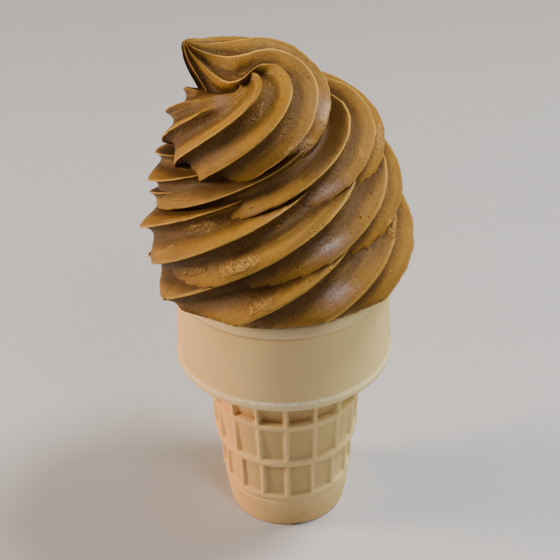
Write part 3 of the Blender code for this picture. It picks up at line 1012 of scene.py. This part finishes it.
def cream_material(swirl):
    """Satin cream with streaks and tears along the rope, pits, froth and shiny places, and painted light: highlights
    along the crests, shade in the valleys, under each crest and in the crevices, and a sheen on the shiny places.
    """
    material, graph = new_material("chocolate soft serve")
    place = graph.node("ShaderNodeTexCoord", None, None, "Object")
    flow = graph.node("ShaderNodeAttribute", {"attribute_name": "flow"}, None, "Vector")
    crest, under, frothy, gloss_and_painted_sheen, painted_crevice_shade = (
        graph.node("ShaderNodeAttribute", {"attribute_name": label}, None, "Fac")
        for label in ("crest", "under", "frothy", "gloss_and_painted_sheen", "painted_crevice_shade")
    )
    cloudy = graph.noise(place, 60.0, 3.0)
    patchy = graph.noise(place, 260.0, 3.0, 0.6)
    streaks = graph.noise(flow, 9.0, 4.0, 0.6)
    grain = graph.noise(place, 1900.0, 3.0, 0.7)
    crumbs = graph.noise(place, 1250.0, 2.0, 0.6)

    torn = (frothy + (patchy - 0.5) * 0.7).smooth(0.25, 0.70)
    foam = graph.cells(place, 1500.0).smooth(0.1, 0.6)
    big = 1 - graph.cells(place, 360.0).smooth(0.06, 0.20)
    small = 1 - graph.cells(place, 700.0).smooth(0.08, 0.26)
    where_big = graph.noise(place, 150.0).smooth(0.56, 0.66)
    where_small = graph.noise(place, 210.0).smooth(0.50, 0.60)
    pit = (big * where_big).most(small * where_small * 0.6)
    tear = band(graph.noise(flow, 6.0, 1.0), 0.499, 0.501, 0.006) * graph.noise(place, 120.0).smooth(0.50, 0.58)
    shine = streaks.smooth(0.38, 0.62) * 0.55 + grain.smooth(0.42, 0.68) * 0.45

    # Painted shadow under the overhang of each crest
    color = graph.mix(swirl.cream, swirl.hollow_and_shade, under * 0.95)
    # Painted shade deep in the valleys between the crests
    color = graph.mix(color, swirl.hollow_and_shade, (1 - crest).smooth(0.40, 0.95) * 0.62)
    color = graph.mix(color, swirl.hollow_and_shade, cloudy.smooth(0.45, 0.7) * 0.35)
    color = graph.mix(color, swirl.crest_highlight_and_streaks, (streaks.smooth(0.50, 0.72) + grain.smooth(0.45, 0.75)) * 0.25)
    # Painted highlight along the crests
    color = graph.mix(color, swirl.crest_highlight_and_streaks, crest.smooth(0.87, 0.99) * (0.45 + streaks * 0.9).least(1.0))
    # Painted sheen coloured into the shiny patches
    color = graph.mix(color, swirl.painted_sheen, gloss_and_painted_sheen * (streaks * 0.6 + grain.smooth(0.4, 0.65) * 0.4) * 0.75)
    color = graph.mix(color, swirl.froth, torn * (0.25 + crumbs.smooth(0.42, 0.62) * 0.65))
    color = graph.mix(color, swirl.froth, tear * (0.2 + crumbs * 0.8))
    color = graph.mix(color, swirl.hollow_and_shade, torn * (1 - crumbs).smooth(0.56, 0.66) * 0.45)
    # Dark pits, and painted shade where the cream near a point shuts off its sky
    color = graph.mix(color, swirl.hollow_and_shade, (pit * 0.45).most(painted_crevice_shade.smooth(0.05, 0.36) * 0.95))
    height = patchy * 0.6 + streaks * 0.6 + grain * (0.4 + torn * 0.4) + torn * (crumbs * 2.2 + foam * 0.4)
    height = height + tear * 1.2 - pit * 1.2
    bump = graph.node("ShaderNodeBump", None, {"Height": height, "Strength": 0.65, "Distance": 0.6 * MM}, "Normal")
    sockets = {
        "Base Color": color,
        "Roughness": 0.52 + patchy * 0.14 - gloss_and_painted_sheen * 0.26,
        "Coat Weight": (gloss_and_painted_sheen * shine).least(1.0),
        "Coat Roughness": 0.34,
        "Coat IOR": 1.8,
        "Coat Tint": (0.92, 0.90, 1.0),
        "Normal": bump,
        "Specular IOR Level": 0.20,
    }
    graph.shade(sockets)
    return material


class SOFTSERVE_OT_swirl(bpy.types.Operator):
    """Pipe the soft serve: a star section carried along the coil"""

    bl_idname = "softserve.swirl"
    bl_label = "Soft Serve"

    def execute(self, context):
        swirl = context.scene.softserve_swirl
        values = {
            "Crests": swirl.crests,
            "Points a Crest": swirl.points_a_crest,
            "Crest Depth": swirl.crest_depth,
            "Crest Sharpness": swirl.crest_sharpness,
            "Squash": swirl.squash,
            "Material": cream_material(swirl),
        }
        obj = swept("soft_serve_piped", coil_guide(swirl), swirl_tree(), values)
        rest_on_rim(obj.data, context.scene.softserve_cup, swirl.rim_clearance)
        tree = surface_tree(obj.data)
        mark(obj.data, tree, "frothy", FROTHY)
        mark(obj.data, tree, "gloss_and_painted_sheen", GLOSS_AND_PAINTED_SHEEN)
        mark_painted_crevice_shade(obj.data, tree)
        obj.data.shade_smooth()
        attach(obj, "root")
        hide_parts("soft_serve")
        return {"FINISHED"}


# Floor, light and view


def view_axes():
    """The camera's right, up and forward directions."""
    forward = Vector((0.0, math.cos(VIEW_PITCH), -math.sin(VIEW_PITCH)))
    level = Vector((1.0, 0.0, 0.0))
    rise = level.cross(forward)
    right = level * math.cos(VIEW_ROLL) + rise * math.sin(VIEW_ROLL)
    up = rise * math.cos(VIEW_ROLL) - level * math.sin(VIEW_ROLL)
    return right, up, forward


def view_place():
    """Where the camera stands."""
    right, up, forward = view_axes()
    return -(right * VIEW_ORIGIN.x + up * VIEW_ORIGIN.y - forward * VIEW_ORIGIN.z)


def add_camera():
    """Adds the camera that sees the part as the photograph does."""
    right, up, forward = view_axes()
    data = bpy.data.cameras.new("view")
    data.lens = VIEW_LENS
    data.sensor_width = VIEW_SENSOR
    data.clip_start = 0.01
    data.clip_end = 20.0
    camera = add_object("view", data)
    matrix = camera.matrix_world.copy()
    for k, axis in enumerate((right, up, -forward)):
        for row in range(3):
            matrix[row][k] = axis[row]
    matrix.translation = view_place()
    camera.matrix_world = matrix
    bpy.context.scene.camera = camera


def add_light(lamp):
    """Adds a round lamp that points at the middle of the part."""
    data = bpy.data.lights.new(lamp.name, "AREA")
    data.shape = "DISK"
    data.size = lamp.size
    data.energy = lamp.energy
    data.color = lamp.color
    light = add_object(lamp.name, data)
    light.location = lamp.place
    light.rotation_euler = (LAMP_TARGET - Vector(lamp.place)).to_track_quat("-Z", "Y").to_euler()


def add_floor(settings):
    """Adds the plain pale floor."""
    mesh = bpy.data.meshes.new("floor")
    bm = bmesh.new()
    bmesh.ops.create_circle(bm, cap_ends=True, segments=96, radius=settings.floor_radius)
    bm.to_mesh(mesh)
    bm.free()
    floor = add_object("floor", mesh)
    material, graph = new_material("floor")
    graph.shade({"Base Color": settings.floor, "Roughness": 0.6})
    mesh.materials.append(material)


def add_daylight(strength):
    """Adds a faint even light from all round."""
    world = bpy.data.worlds.new("daylight")
    world.use_nodes = True
    graph = Graph(world.node_tree)
    background = graph.node("ShaderNodeBackground", None, {"Color": SKY_COLOR, "Strength": strength})
    graph.node("ShaderNodeOutputWorld", None, {"Surface": background})
    bpy.context.scene.world = world


class SOFTSERVE_OT_stage(bpy.types.Operator):
    """Add the floor, the lights and the camera"""

    bl_idname = "softserve.stage"
    bl_label = "Stage"

    def execute(self, context):
        settings = context.scene.softserve_stage
        add_camera()
        add_floor(settings)
        add_daylight(settings.daylight)
        for lamp in LAMPS:
            add_light(lamp)
        return {"FINISHED"}


class SOFTSERVE_PT_panel(bpy.types.Panel):
    """Sizes and colours of the soft serve cone"""

    bl_idname = "SOFTSERVE_PT_panel"
    bl_label = "Soft Serve Cone"
    bl_space_type = "VIEW_3D"
    bl_region_type = "UI"
    bl_category = "Soft Serve"

    def draw(self, context):
        for settings, operator in STEPS:
            box = self.layout.box()
            group = getattr(context.scene, settings)
            for name in group.__annotations__:
                box.prop(group, name)
            box.operator(operator)


GROUPS = {"softserve_cup": CupSizes, "softserve_swirl": SwirlSizes, "softserve_stage": StageSettings}
STEPS = (
    ("softserve_stage", SOFTSERVE_OT_stage.bl_idname),
    ("softserve_cup", SOFTSERVE_OT_wafer_cup.bl_idname),
    ("softserve_swirl", SOFTSERVE_OT_swirl.bl_idname),
)
CLASSES = (
    *GROUPS.values(),
    SOFTSERVE_OT_wafer_cup,
    SOFTSERVE_OT_swirl,
    SOFTSERVE_OT_stage,
    SOFTSERVE_PT_panel,
)


def register():
    for cls in CLASSES:
        bpy.utils.register_class(cls)
    for name, group in GROUPS.items():
        setattr(bpy.types.Scene, name, bpy.props.PointerProperty(type=group))


def unregister():
    for name in GROUPS:
        delattr(bpy.types.Scene, name)
    for cls in reversed(CLASSES):
        bpy.utils.unregister_class(cls)


def main():
    register()
    bpy.ops.softserve.stage()
    bpy.ops.softserve.wafer_cup()
    bpy.ops.softserve.swirl()


if __name__ == "__main__":
    main()
